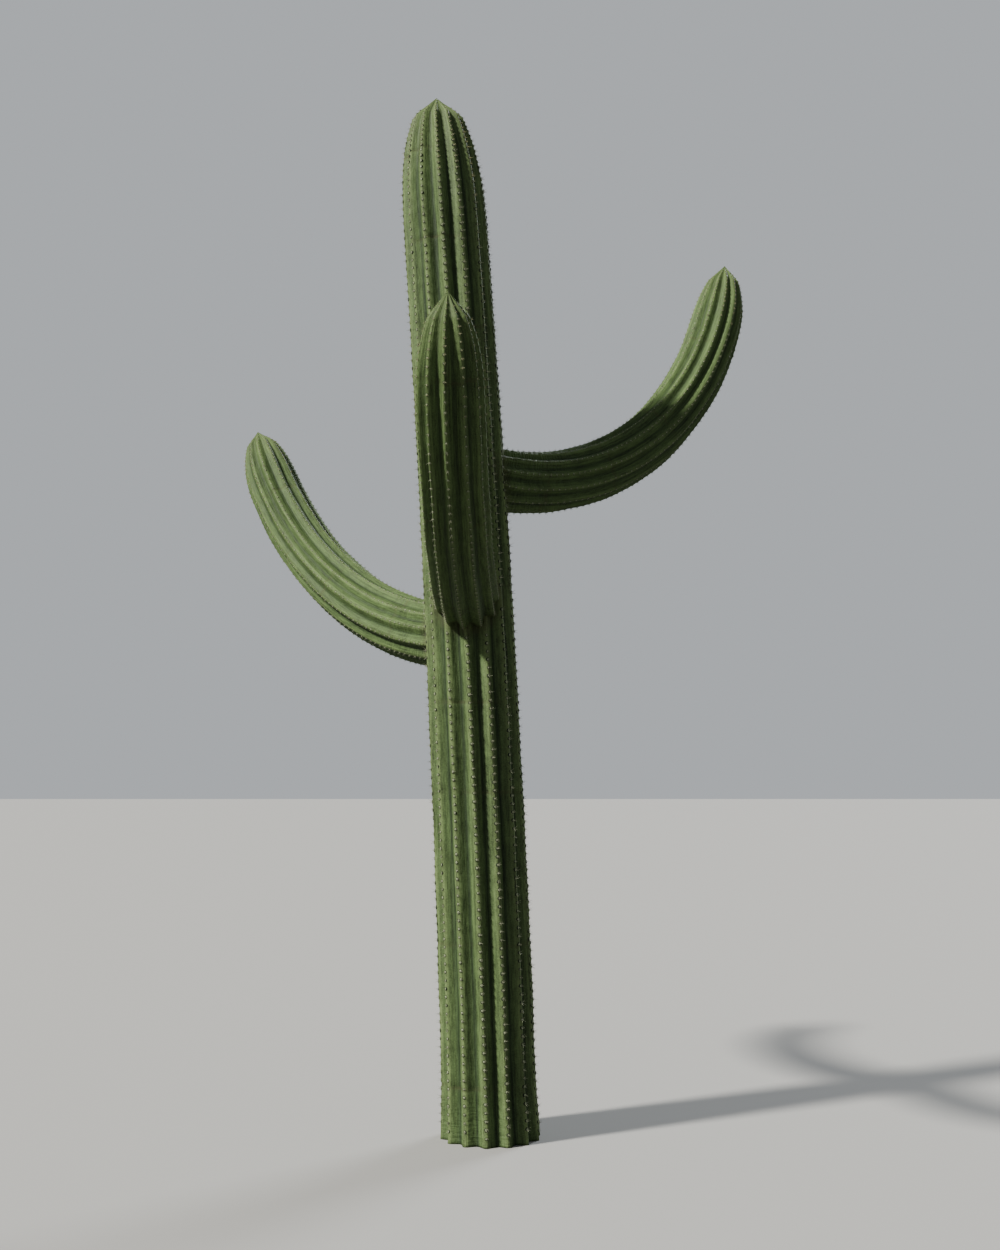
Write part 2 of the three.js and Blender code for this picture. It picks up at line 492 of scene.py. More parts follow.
def place_on(stem, points):
    """(share of the length, angle round the limb, distance from its line) of each point."""
    shares, centres, across, _ = LINES[stem]
    if stem is trunk:
        t = np.clip(points[:, 2] / TRUNK_HEIGHT, 0, 1)
    else:
        nearest = np.empty(len(points), int)
        for some in np.array_split(np.arange(len(points)), len(points) // POINTS_AT_ONCE + 1):
            gaps = points[some, None, :] - centres[None, :, :]
            nearest[some] = (gaps ** 2).sum(2).argmin(1)
        heading = np.cross(across[nearest, 0], across[nearest, 1])
        past = ((points - centres[nearest]) * heading).sum(1)
        t = np.clip(shares[nearest] + past / stem.length, 0, 1)
    off = points - read_off(stem, centres, t)
    sides = [read_off(stem, across[:, k], t) for k in (0, 1)]
    angle = np.arctan2((off * sides[1]).sum(1), (off * sides[0]).sum(1))
    return t, angle, np.linalg.norm(off, axis=1)


for stem in STEMS:
    halfway = np.array([stem.centre(0.5) + 0.1 * stem.axes(0.5)[1]])
    print(stem.name, "halfway:", [round(float(v[0]), 3) for v in place_on(stem, halfway)])

# %% Cutting the lengthwise edges
SHORTEST_RUN = 0.001     # an edge that comes less far along the limb than this runs round it
APEX_MARGIN = 0.01       # in crest radii


def cut_lengthwise(stem, skin):
    """Cuts every edge that runs along the limb into four, but for those that meet at the apex."""
    take_up(skin)
    t = place_on(stem, points_of(skin))[0]
    ends = np.empty(len(skin.data.edges) * 2, int)
    skin.data.edges.foreach_get("vertices", ends)
    ends = ends.reshape(-1, 2)
    apex_share = 1 - APEX_MARGIN * stem.tip_radius / stem.length
    run = np.abs(t[ends[:, 0]] - t[ends[:, 1]]) * stem.length
    lengthwise = (run > SHORTEST_RUN) & (t[ends].max(1) < apex_share)
    choose_points(skin.data, [])
    bpy.ops.mesh.select_mode(type="EDGE")
    switch_to("OBJECT")
    skin.data.edges.foreach_set("select", lengthwise)
    switch_to("EDIT")
    bpy.ops.mesh.subdivide(number_cuts=LENGTHWISE_CUTS, smoothness=0)
    bpy.ops.mesh.select_mode(type="VERT")
    switch_to("OBJECT")


for stem, skin in skins.items():
    cut_lengthwise(stem, skin)

# %% [markdown]
# ### Facing outwards
# A ring that is drawn along a limb leaves faces that look to the inside. The relief moves each point along
# the skin's normal, so a swelling would become a dent there. An operator can make the faces agree with
# each other, but it has to guess which side is out, and on a bent limb it can guess wrong. So the faces
# are measured against the limb's own line, and turned over if they look inwards.

# %% Facing the skins outwards


def outward_share(stem, skin):
    """How many of the faces look away from the limb's line, as a share of all."""
    centres = numbers_of(skin.data.polygons, "center")
    off = centres - read_off(stem, LINES[stem][1], place_on(stem, centres)[0])
    return float(((numbers_of(skin.data.polygons, "normal") * off).sum(1) > 0).mean())


def face_outwards(stem, skin):
    """Makes the faces agree with each other, then turns them all over if they look inwards."""
    take_up(skin)
    switch_to("EDIT")
    bpy.ops.mesh.select_mode(type="VERT")
    bpy.ops.mesh.select_all(action="SELECT")
    bpy.ops.mesh.normals_make_consistent(inside=False)
    switch_to("OBJECT")
    if outward_share(stem, skin) < 0.5:
        switch_to("EDIT")
        bpy.ops.mesh.flip_normals()
        switch_to("OBJECT")


for stem, skin in skins.items():
    before = outward_share(stem, skin)
    face_outwards(stem, skin)
    after = outward_share(stem, skin)
    print(skin.name, "share of faces outwards:", round(before, 3), "then", round(after, 3))

# %% [markdown]
# ## Rows of spine clusters
# A saguaro's spines grow from small felted cushions, the areoles, which sit one above another on the crest
# of every rib. Neighbouring ribs are out of step, as the areoles wind round the stem. They stand about
# five centimetres apart on grown skin and crowd together in the closing tip. Their places are settled
# before the relief, because the skin swells under each one.

# %% Areole places along each rib
AREOLE_SPACING = 0.048
TIP_CROWDING = 0.50      # spacing left right at the apex, as a share of the full spacing
FIRST_AREOLE = 0.055     # above the ground
LAST_AREOLE = 0.35       # before the apex, in crest radii
STAGGER = 5              # a row starts this many n-ths of a spacing above its neighbour's, for n ribs


def areole_row(stem, rib):
    """Distances from the limb's root of the areoles on one rib."""
    shift = (rib * STAGGER % stem.ribs) / stem.ribs
    s = FIRST_AREOLE + shift * AREOLE_SPACING
    row = []
    end = stem.length - LAST_AREOLE * stem.tip_radius
    while s < end:
        row.append(s)
        closing = min(1.0, (stem.length - s) / (TIP_LENGTH * stem.tip_radius))
        s += AREOLE_SPACING * (TIP_CROWDING + (1 - TIP_CROWDING) * closing)
    return np.array(row)


ROWS = {stem: [areole_row(stem, rib) for rib in range(stem.ribs)] for stem in STEMS}
for stem in STEMS:
    print(stem.name, "areoles:", sum(len(row) for row in ROWS[stem]))

# %% [markdown]
# ## Relief in the skin
# The skin isn't smooth: it swells under each areole, is pinched where one season's growth ended and the
# next began, and is slightly lumpy all over. Sculpting could do it, but a Displace modifier driven by a
# vertex group does it evenly and can be repeated. Each vertex group says how strongly a point is moved
# along its normal.

# %% Masks for the relief
SEED = 7
SWELLING_RADIUS = 0.018
SEAM_RADIUS = 0.009
SEAM_SAG = 0.006                   # a seam isn't quite level
SEAM_EVENNESS = 0.6                # 1 would make it as strong all round
TRUNK_SEAMS = (0.32, 1.14, 2.03, 2.56)
FIRST_ARM_SEAM = 0.55
SEAM_SPACING = (0.45, 0.85)
SEAMLESS_TIP = 0.9
COLLAR_REACH = 0.05
BESIDE = (0.01, 0.99)              # shares of a limb between which a point can lie beside it


def seams_of(stem):
    """Distances from the root at which a season's growth ended."""
    rng = np.random.default_rng([SEED, STEMS.index(stem)])
    seams = list(TRUNK_SEAMS) if stem is trunk else [FIRST_ARM_SEAM]
    while seams[-1] < stem.length - SEAMLESS_TIP:
        seams.append(seams[-1] + rng.uniform(*SEAM_SPACING))
    return seams


def swelling_mask(stem, t, angle):
    """1 under an areole, fading to 0 a short way from it."""
    s = t * stem.length
    rib_width = 2 * math.pi / stem.ribs
    turned = (angle - stem.turn) / rib_width
    rib = np.round(turned).astype(int) % stem.ribs
    aside = np.abs(turned - np.round(turned)) * rib_width * radius_at(stem, t)
    gap = np.full(len(t), 1.0)
    for number, row in enumerate(ROWS[stem]):
        here = np.nonzero(rib == number)[0]
        after = np.clip(np.searchsorted(row, s[here]), 1, len(row) - 1)
        gap[here] = np.minimum(np.abs(s[here] - row[after]), np.abs(s[here] - row[after - 1]))
    return np.exp(-(gap ** 2 + aside ** 2) / SWELLING_RADIUS ** 2)


def seam_mask(stem, t, angle):
    """1 along each seam, stronger on some sides than on others."""
    mask = np.zeros(len(t))
    for number, seam in enumerate(seams_of(stem)):
        sag = SEAM_SAG * np.sin(3 * angle + number)
        uneven = SEAM_EVENNESS + (1 - SEAM_EVENNESS) * np.sin(2 * angle + 1.7 * number)
        off_seam = (t * stem.length - seam - sag) / SEAM_RADIUS
        mask = np.maximum(mask, uneven * np.exp(-off_seam ** 2))
    return mask


def clearance(stem, points):
    """How far each point on a limb stands off the nearest surface of a limb that it meets."""
    nearest = np.full(len(points), np.inf)
    for other in (ARMS if stem is trunk else [trunk]):
        t, _, distance = place_on(other, points)
        beside = (t > BESIDE[0]) & (t < BESIDE[1])
        nearest = np.minimum(nearest, np.where(beside, distance - radius_at(other, t), np.inf))
    return nearest


def collar_mask(stem, points):
    """On an arm, 1 where it meets the trunk, fading outwards. On the trunk, 1 where it meets an arm."""
    return np.clip(1 - clearance(stem, points) / COLLAR_REACH, 0, 1)


print("seams on the trunk:", [round(s, 2) for s in seams_of(trunk)])

# %% Applying the relief
SWELLING_HEIGHT = 0.0012
SEAM_DEPTH = 0.0035
LUMP_HEIGHT = 0.012
LUMP_SIZE = 0.45
GRAIN_HEIGHT = 0.0028
GRAIN_SIZE = 0.035
GROUND_MARGIN = 0.012    # the lowest strip keeps its shape, so that the foot stays flat
WEIGHT_LEVELS = 40


def weigh(skin, name, mask):
    """A vertex group from a mask. Points of like weight are added together."""
    group = skin.vertex_groups.new(name=name)
    levels = np.round(np.clip(mask, 0, 1) * WEIGHT_LEVELS).astype(int)
    for level in range(1, WEIGHT_LEVELS + 1):
        group.add(np.nonzero(levels == level)[0].tolist(), level / WEIGHT_LEVELS, "REPLACE")


def push_out(skin, group, height, clouds=None):
    """Moves the skin along its normals by a vertex group, and by a cloud pattern where one is given."""
    push = skin.modifiers.new("relief", "DISPLACE")
    push.vertex_group = group
    push.strength = height
    push.mid_level = 0.5 if clouds else 0.0
    push.texture = clouds
    push.texture_coords = "LOCAL"
    bpy.ops.object.modifier_apply(modifier=push.name)


def cloud_pattern(name, size):
    clouds = bpy.data.textures.new(name, "CLOUDS")
    clouds.noise_scale = size
    clouds.noise_depth = 2
    return clouds


lumps = cloud_pattern("lumps", LUMP_SIZE)
grain = cloud_pattern("grain", GRAIN_SIZE)
MASKS = {}
for stem, skin in skins.items():
    take_up(skin)
    points = points_of(skin)
    t, angle, _ = place_on(stem, points)
    off_ground = np.clip(points[:, 2] / GROUND_MARGIN - 0.5, 0, 1)
    crest = (1 + np.cos(stem.ribs * (angle - stem.turn))) / 2
    MASKS[stem] = {"along": t, "angle": angle, "crest": crest,
                   "seam": seam_mask(stem, t, angle), "collar": collar_mask(stem, points)}
    weigh(skin, "everywhere", off_ground)
    weigh(skin, "swelling", swelling_mask(stem, t, angle) * off_ground)
    weigh(skin, "seam", MASKS[stem]["seam"] * off_ground)
    push_out(skin, "everywhere", LUMP_HEIGHT, lumps)
    push_out(skin, "everywhere", GRAIN_HEIGHT, grain)
    push_out(skin, "swelling", SWELLING_HEIGHT)
    push_out(skin, "seam", -SEAM_DEPTH)
    skin.vertex_groups.clear()
    moved = np.linalg.norm(points_of(skin) - points, axis=1)
    print(skin.name, "moved by up to", round(float(moved.max()) * 1000, 1), "mm")

# %% [markdown]
# ### Closing the root
# Each skin is still open at its root. The trunk's foot is closed by one flat face at ground level, and
# each arm's end by one face inside the trunk. Then it is measured again which way the faces look.

# %% Closing the roots


def close_root(skin):
    take_up(skin)
    switch_to("EDIT")
    bpy.ops.mesh.select_mode(type="EDGE")
    bpy.ops.mesh.select_all(action="DESELECT")
    bpy.ops.mesh.select_non_manifold(extend=False)
    bpy.ops.mesh.edge_face_add()
    bpy.ops.mesh.select_mode(type="VERT")
    switch_to("OBJECT")


def open_edges(skin):
    uses = np.zeros(len(skin.data.edges), int)
    loops = np.empty(len(skin.data.loops), int)
    skin.data.loops.foreach_get("edge_index", loops)
    np.add.at(uses, loops, 1)
    return int((uses != 2).sum())


def enclosed(skin):
    """The volume inside the skin, which comes out below nothing if its faces look inwards."""
    skin.data.calc_loop_triangles()
    corners = np.empty(len(skin.data.loop_triangles) * 3, np.int32)
    skin.data.loop_triangles.foreach_get("vertices", corners)
    a, b, c = points_of(skin)[corners].reshape(-1, 3, 3).transpose(1, 0, 2)
    return float((a * np.cross(b, c)).sum() / 6)


for stem, skin in skins.items():
    close_root(skin)
    face_outwards(stem, skin)
    skin.data.shade_smooth()
    print(skin.name, "open edges:", open_edges(skin), "cubic metres inside:", round(enclosed(skin), 4))

# %% [markdown]
# ### Notes for the finish
# The finish needs to know where the crests, seams and collars are, and to run its streaks along the limb
# even where it bends. So each point carries a few numbers of its own: how near it is to a crest, to a seam
# and to a collar, and its place on a limb that is thought of as pulled straight. A map for the colours is
# laid out the same way, once round and once along.

# %% Writing the notes
STRAIGHT_RADIUS = 0.25
MAP_LEFT, MAP_WIDTH = 0.004, 0.992        # where the limb lies on its map
MAP_LOW, MAP_HEIGHT = 0.04, 0.955
LID_MIDDLE, LID_RADIUS = 0.015, 0.012     # where the root's hidden face lies, in the corner below
LID_CORNERS = 8                           # only the root's face has more corners than this
APEX_SHARE = 0.9995                       # a point beyond this is the apex, which is on no side


def write_numbers(skin, name, kind, values):
    note = skin.data.attributes.new(name, kind, "POINT")
    field = "vector" if kind == "FLOAT_VECTOR" else "value"
    note.data.foreach_set(field, np.asarray(values, np.float32).ravel())


def write_notes(stem, skin):
    masks = MASKS[stem]
    for name in ("crest", "seam", "collar"):
        write_numbers(skin, name, "FLOAT", masks[name])
    length = masks["along"] * stem.length
    write_numbers(skin, "to_tip", "FLOAT", (stem.length - length) / stem.tip_radius)
    round_limb = masks["angle"]
    straight = [np.cos(round_limb) * STRAIGHT_RADIUS, np.sin(round_limb) * STRAIGHT_RADIUS, length]
    write_numbers(skin, "straight", "FLOAT_VECTOR", np.stack(straight, 1))


def lay_map(stem, skin):
    """One map over the whole limb, with its join down a groove and the hidden root face in a corner."""
    mesh = skin.data
    corner_of = np.empty(len(mesh.loops), int)
    mesh.loops.foreach_get("vertex_index", corner_of)
    sizes = np.array([len(f.vertices) for f in mesh.polygons])
    face = np.repeat(np.arange(len(sizes)), sizes)
    join = stem.turn + (stem.ribs // 2 + 0.5) * 2 * math.pi / stem.ribs
    angle = MASKS[stem]["angle"][corner_of] - join
    along = MASKS[stem]["along"][corner_of]
    inner = along < APEX_SHARE
    cos = np.bincount(face, np.cos(angle) * inner, len(sizes))
    sin = np.bincount(face, np.sin(angle) * inner, len(sizes))
    middle = np.arctan2(sin, cos)[face] % (2 * math.pi)
    aside = (angle - middle + math.pi) % (2 * math.pi) - math.pi
    u = (middle + np.where(inner, aside, 0)) / (2 * math.pi)
    u = MAP_LEFT + MAP_WIDTH * u
    v = MAP_LOW + MAP_HEIGHT * (along - along.min()) / (1 - along.min())
    lid = (sizes > LID_CORNERS)[face]
    u[lid] = LID_MIDDLE + LID_RADIUS * np.cos(angle[lid])
    v[lid] = LID_MIDDLE + LID_RADIUS * np.sin(angle[lid])
    layer = mesh.uv_layers.new(name="OFBake")
    layer.uv.foreach_set("vector", np.stack([u, v], 1).astype(np.float32).ravel())
    return float(u.min()), float(u.max())


for stem, skin in skins.items():
    write_notes(stem, skin)
    print(skin.name, "map from", lay_map(stem, skin), "notes:", len(skin.data.attributes))

# %% [markdown]
# ## One spine cluster
# An areole is an oval pad of pale felt in a dark rim, with a fan of spines: a ring of short ones that lie
# close to the skin and a few longer ones that stand out. The rim's dark is partly old felt and spine bases
# and partly painted shade round the pad. There are thousands of areoles, so each shape has
# only a few faces. Four clusters are modelled and shared out, so that no pattern shows. Pad, rim and
# spines are kept apart, because each has its own finish.

# %% Modelling the spines of one cluster
CLUSTERS = 4
RING_SPINES = 9
STANDING_SPINES = 3
RING_SHAPE = dict(lengths=(0.012, 0.021), tilts=(58, 78), width=0.0010)
STANDING_SHAPE = dict(lengths=(0.020, 0.034), tilts=(12, 42), width=0.0012)
HEADING_SPREAD = 0.3     # of the angle between two spines


def start_piece(name, add, **sizes):
    """A primitive in edit mode, as the start of a piece, with nothing else selected."""
    deselect_all()
    add(**sizes)
    piece = bpy.context.object
    piece.name = piece.data.name = name
    switch_to("EDIT")
    bpy.ops.mesh.select_all(action="SELECT")
    return piece


def aim_spine(length, tilt, heading):
    """Stands the selected spine on the pad, leans it over and turns it to its heading."""
    bpy.ops.transform.translate(value=(0, 0, length / 2))
    turn_about("Y", tilt, (0, 0, 0))
    turn_about("Z", heading, (0, 0, 0))


def spine_fan(name, rng, count, lengths, tilts, width):
    """Several slender three-sided spines that start from one point."""
    fan = None
    for i in range(count):
        length = rng.uniform(*lengths)
        sizes = dict(vertices=3, radius1=width, radius2=0, depth=length)
        if fan is None:
            fan = start_piece(name, bpy.ops.mesh.primitive_cone_add, **sizes)
        else:
            bpy.ops.mesh.select_all(action="DESELECT")
            bpy.ops.mesh.primitive_cone_add(**sizes)
        heading = 2 * math.pi * (i + rng.uniform(-HEADING_SPREAD, HEADING_SPREAD)) / count
        aim_spine(length, math.radians(rng.uniform(*tilts)), heading)
    switch_to("OBJECT")
    return fan


fans = []
for variant in range(CLUSTERS):
    rng = np.random.default_rng([SEED, 50 + variant])
    ring = spine_fan(f"ring_{variant}", rng, RING_SPINES, **RING_SHAPE)
    standing = spine_fan(f"standing_{variant}", rng, STANDING_SPINES, **STANDING_SHAPE)
    fans.append((ring, standing))
print("faces of one cluster's spines:", sum(len(o.data.polygons) for o in fans[0]))

# %% Modelling the felt pad and its rim
PAD_SIZE = (0.0085, 0.0068)    # half its length along the rib, and half its width
PAD_HEIGHT = 0.0035
RIM_SIZE = (0.0130, 0.0105)
RIM_HEIGHT = 0.004
RIM_TOP = 0.75                 # how much narrower it is at the top
RIM_ROOT = 0.0025              # how much deeper it goes, as a crest falls away beside it


def felt_pad():
    """A flattened eight-sided dome with its flat side down."""
    pad = start_piece("pad", bpy.ops.mesh.primitive_uv_sphere_add, segments=8, ring_count=6, radius=1)
    resize((*PAD_SIZE, PAD_HEIGHT))
    bpy.ops.mesh.bisect(plane_co=(0, 0, 0), plane_no=(0, 0, 1), clear_inner=True, use_fill=True)
    switch_to("OBJECT")
    return pad


def pad_rim():
    """A low oval plinth that the pad sits on, narrower at the top and rooted in the skin."""
    rim = start_piece("rim", bpy.ops.mesh.primitive_cylinder_add, vertices=10, radius=1, depth=1)
    resize((*RIM_SIZE, RIM_HEIGHT))
    switch_to("OBJECT")
    choose_points(rim.data, [v.index for v in rim.data.vertices if v.co.z > 0])
    resize((RIM_TOP, RIM_TOP, 1))
    switch_to("OBJECT")
    choose_points(rim.data, [v.index for v in rim.data.vertices if v.co.z < 0])
    bpy.ops.transform.translate(value=(0, 0, -RIM_ROOT))
    switch_to("OBJECT")
    return rim


pad, rim = felt_pad(), pad_rim()
print("pad faces:", len(pad.data.polygons), "rim faces:", len(rim.data.polygons))

# %% [markdown]
# ## Seating the clusters
# Each areole has a place along its rib, so a line is sent out from the limb's middle through the crest
# there, and where it meets the skin the cluster is seated. Places that another limb covers are left out.
# The clusters could be copied one by one, but Geometry Nodes sets them all at once: a bare mesh with one
# point per areole carries the direction, size and number of its cluster, and the node group puts the
# shapes on it and makes them real mesh.

# %% Where the clusters sit
SEAT_DEPTH = 0.0015
COVERED_MARGIN = 0.012
OUTWARD_SHARE = 0.6      # a cluster faces this much straight out from the limb, and else as the skin does
ALONG_STEP = 0.002
FIRST_SEAT = ARM_START + 0.01    # below this share of its length an arm is inside the trunk


def seats_on(stem, skin):
    """Place, outward direction and direction along the limb of every areole, and its distance to the tip."""
    tree = BVHTree.FromObject(skin, bpy.context.evaluated_depsgraph_get())
    found = []
    for rib, row in enumerate(ROWS[stem]):
        angle = stem.turn + 2 * math.pi * rib / stem.ribs
        for s in row:
            t = s / stem.length
            if stem is not trunk and t < FIRST_SEAT:
                continue
            sides = stem.axes(t)
            out = sides[0] * math.cos(angle) + sides[1] * math.sin(angle)
            hit, normal, _, _ = tree.ray_cast(stem.centre(t), out)
            if hit is None:
                continue
            along = (stem.centre(min(1, t + ALONG_STEP)) - stem.centre(t - ALONG_STEP)).normalized()
            facing = (out * OUTWARD_SHARE + normal * (1 - OUTWARD_SHARE)).normalized()
            found.append((*(hit - facing * SEAT_DEPTH), *facing, *along, stem.length - s))
    found = np.array(found)
    return found[clearance(stem, found[:, :3]) >= COVERED_MARGIN]


SEATS = {stem: seats_on(stem, skin) for stem, skin in skins.items()}
for stem, seats in SEATS.items():
    print(stem.name, "areoles seated:", len(seats))

# %% The node group that sets them


def scatter_group(name, shapes):
    """Geometry nodes: one of the shapes on each point, turned by the point's own directions, made real."""
    store = bpy.data.collections.new(name + "_shapes")
    for shape in shapes:
        store.objects.link(shape)
    group = bpy.data.node_groups.new(name, "GeometryNodeTree")
    group.interface.new_socket("Points", in_out="INPUT", socket_type="NodeSocketGeometry")
    group.interface.new_socket("Clusters", in_out="OUTPUT", socket_type="NodeSocketGeometry")
    node = group.nodes.new

    def noted(kind, attribute):
        reader = node("GeometryNodeInputNamedAttribute")
        reader.data_type = kind
        reader.inputs["Name"].default_value = attribute
        return reader.outputs["Attribute"]

    source = node("NodeGroupInput")
    result = node("NodeGroupOutput")
    shelf = node("GeometryNodeCollectionInfo")
    shelf.inputs["Collection"].default_value = store
    shelf.inputs["Separate Children"].default_value = True
    shelf.inputs["Reset Children"].default_value = True
    outward = node("FunctionNodeAlignRotationToVector")
    outward.axis = "Z"
    lengthwise = node("FunctionNodeAlignRotationToVector")
    lengthwise.axis = "X"
    lengthwise.pivot_axis = "Z"
    place = node("GeometryNodeInstanceOnPoints")
    place.inputs["Pick Instance"].default_value = True
    solid = node("GeometryNodeRealizeInstances")
    for start, end, socket in (
            (noted("FLOAT_VECTOR", "facing"), outward, "Vector"),
            (outward.outputs["Rotation"], lengthwise, "Rotation"),
            (noted("FLOAT_VECTOR", "along"), lengthwise, "Vector"),
            (source.outputs["Points"], place, "Points"),
            (shelf.outputs["Instances"], place, "Instance"),
            (noted("INT", "pick"), place, "Instance Index"),
            (lengthwise.outputs["Rotation"], place, "Rotation"),
            (noted("FLOAT", "grown"), place, "Scale"),
            (place.outputs["Instances"], solid, "Geometry"),
            (solid.outputs["Geometry"], result, "Clusters")):
        group.links.new(start, end.inputs[socket])
    return group


SCATTERS = {
    "rims": scatter_group("set_rims", [rim]),
    "pads": scatter_group("set_pads", [pad]),
    "ring_spines": scatter_group("set_ring_spines", [ring for ring, _ in fans]),
    "standing_spines": scatter_group("set_standing_spines", [standing for _, standing in fans]),
}
print("node groups:", list(SCATTERS))

# %% Setting the clusters
YOUNG_REACH = 0.55       # spines this near a tip are still fresh
SMALL_AT_TIP = 0.50
FULL_SIZE_AT = 1.4       # crest radii before the apex at which clusters are full-sized
SIZE_SPREAD = 0.16
YOUNG_SPREAD = 0.15
ARM_CLUSTERS = 0.74      # an arm's areoles are smaller than the trunk's


def cluster_points(name, stems_used, young, rng):
    """A bare mesh with one point per areole, for young clusters, old ones or both, with their notes."""
    chosen = []
    for stem in stems_used:
        seats = SEATS[stem]
        fresh = seats[:, 9] < YOUNG_REACH + rng.uniform(-YOUNG_SPREAD, YOUNG_SPREAD, len(seats))
        kept = seats if young is None else seats[fresh == young]
        full = np.clip(kept[:, 9] / (FULL_SIZE_AT * stem.tip_radius), 0, 1)
        grown = SMALL_AT_TIP + (1 - SMALL_AT_TIP) * full
        grown *= 1 + rng.uniform(-1, 1, len(kept)) * SIZE_SPREAD
        grown *= 1 if stem is trunk else ARM_CLUSTERS
        chosen.append(np.column_stack([kept[:, :9], grown]))
    chosen = np.concatenate(chosen)
    mesh = bpy.data.meshes.new(name)
    mesh.from_pydata(chosen[:, :3].tolist(), [], [])
    holder = bpy.data.objects.new(name, mesh)
    bpy.context.collection.objects.link(holder)
    write_numbers(holder, "facing", "FLOAT_VECTOR", chosen[:, 3:6])
    write_numbers(holder, "along", "FLOAT_VECTOR", chosen[:, 6:9])
    write_numbers(holder, "grown", "FLOAT", chosen[:, 9])
    pick = mesh.attributes.new("pick", "INT", "POINT")
    pick.data.foreach_set("value", rng.integers(0, CLUSTERS, len(chosen)).astype(np.int32))
    return holder


def set_clusters(name, shape, stems_used, young):
    rng = np.random.default_rng([SEED, 90, len(stems_used), int(bool(young))])
    piece = cluster_points(name, stems_used, young, rng)
    take_up(piece)
    scatter = piece.modifiers.new("scatter", "NODES")
    scatter.node_group = SCATTERS[shape]
    bpy.ops.object.modifier_apply(modifier=scatter.name)
    for note in ("facing", "along", "grown", "pick"):
        if note in piece.data.attributes:
            piece.data.attributes.remove(piece.data.attributes[note])
    print(name, "faces:", len(piece.data.polygons))
    return piece


CLUSTER_SETS = {
    "trunk_areole_rims": ("rims", [trunk], None),
    "arm_areole_rims": ("rims", ARMS, None),
    "trunk_areole_felt": ("pads", [trunk], None),
    "arm_areole_felt": ("pads", ARMS, None),
    "trunk_ring_spines": ("ring_spines", [trunk], False),
    "trunk_standing_spines": ("standing_spines", [trunk], False),
    "arm_ring_spines": ("ring_spines", ARMS, False),
    "arm_standing_spines": ("standing_spines", ARMS, False),
    "young_ring_spines": ("ring_spines", STEMS, True),
    "young_standing_spines": ("standing_spines", STEMS, True),
}
clusters = {name: set_clusters(name, *what) for name, what in CLUSTER_SETS.items()}
for shape in [pad, rim] + [spines for fan in fans for spines in fan]:
    bpy.data.objects.remove(shape)

# %% [markdown]
# ## Finishes
# The skin is a thick waxy hide. Its colour is palest on the crests, as a painted highlight, and deepest in
# the grooves, as painted shade. On top of that it is mottled, streaked along the limb, and marked by a thin
# scar where each season's growth ended. The trunk and the arms share these effects, so each effect is a
# node group with its own inputs, and each skin uses the groups with its own values.

# %% Node helpers


def node_group(name, takes, gives):
    """An empty shader node group with named sockets, and its two end nodes."""
    group = bpy.data.node_groups.new(name, "ShaderNodeTree")
    kinds = {"value": "NodeSocketFloat", "colour": "NodeSocketColor", "place": "NodeSocketVector"}
    for label, kind in takes:
        group.interface.new_socket(label, in_out="INPUT", socket_type=kinds[kind])
    for label, kind in gives:
        group.interface.new_socket(label, in_out="OUTPUT", socket_type=kinds[kind])
    return group, group.nodes.new("NodeGroupInput"), group.nodes.new("NodeGroupOutput")


def fill(tree, socket, value):
    """Links a socket to another one, or sets it to a plain value."""
    if isinstance(value, bpy.types.NodeSocket):
        tree.links.new(value, socket)
    else:
        socket.default_value = value


def reckon(tree, operation, *values):
    """One Math node and its result."""
    reckoner = tree.nodes.new("ShaderNodeMath")
    reckoner.operation = operation
    for socket, value in zip(reckoner.inputs, values):
        fill(tree, socket, value)
    return reckoner.outputs[0]


def stretch(tree, value, low, high, to_low=0.0, to_high=1.0):
    """Maps a range of values to another, with nothing outside it."""
    ranger = tree.nodes.new("ShaderNodeMapRange")
    for label, amount in (("Value", value), ("From Min", low), ("From Max", high),
                          ("To Min", to_low), ("To Max", to_high)):
        fill(tree, ranger.inputs[label], amount)
    return ranger.outputs["Result"]


def blend_colours(tree, share, first, second, mode="MIX"):
    mixer = tree.nodes.new("ShaderNodeMix")
    mixer.data_type = "RGBA"
    mixer.blend_type = mode
    fill(tree, mixer.inputs["Factor"], share)
    fill(tree, mixer.inputs["A"], first)
    fill(tree, mixer.inputs["B"], second)
    return mixer.outputs["Result"]


def noise_at(tree, place, scale, detail, squash):
    """Cloudy noise from 0 to 1 at a place, drawn out along any direction with a small squash."""
    mapping = tree.nodes.new("ShaderNodeMapping")
    mapping.inputs["Scale"].default_value = squash
    tree.links.new(place, mapping.inputs["Vector"])
    noise = tree.nodes.new("ShaderNodeTexNoise")
    fill(tree, noise.inputs["Scale"], scale)
    noise.inputs["Detail"].default_value = detail
    tree.links.new(mapping.outputs["Vector"], noise.inputs["Vector"])
    return noise.outputs["Fac"]


def placed(tree, group, **values):
    """The group placed in a material, with its inputs filled."""
    node = tree.nodes.new("ShaderNodeGroup")
    node.node_tree = group
    for label, value in values.items():
        fill(tree, node.inputs[label.replace("_", " ")], value)
    return node


# %% Rib shade and highlight: painted shade in the groove, the flank between, a painted highlight on the crest
# painted shade: the near-black laid along the bottom of every groove
GROOVE_SHADE_COLOUR = (0.010, 0.018, 0.007, 1)
WAVER = 0.5                # how far the streaks shift the borders of groove, flank and crest
FLANK_FROM, FLANK_FULL = 0.02, 0.34
CREST_FROM, CREST_FULL = 0.62, 0.98
GROOVE_SHADE_WIDTH = 0.06

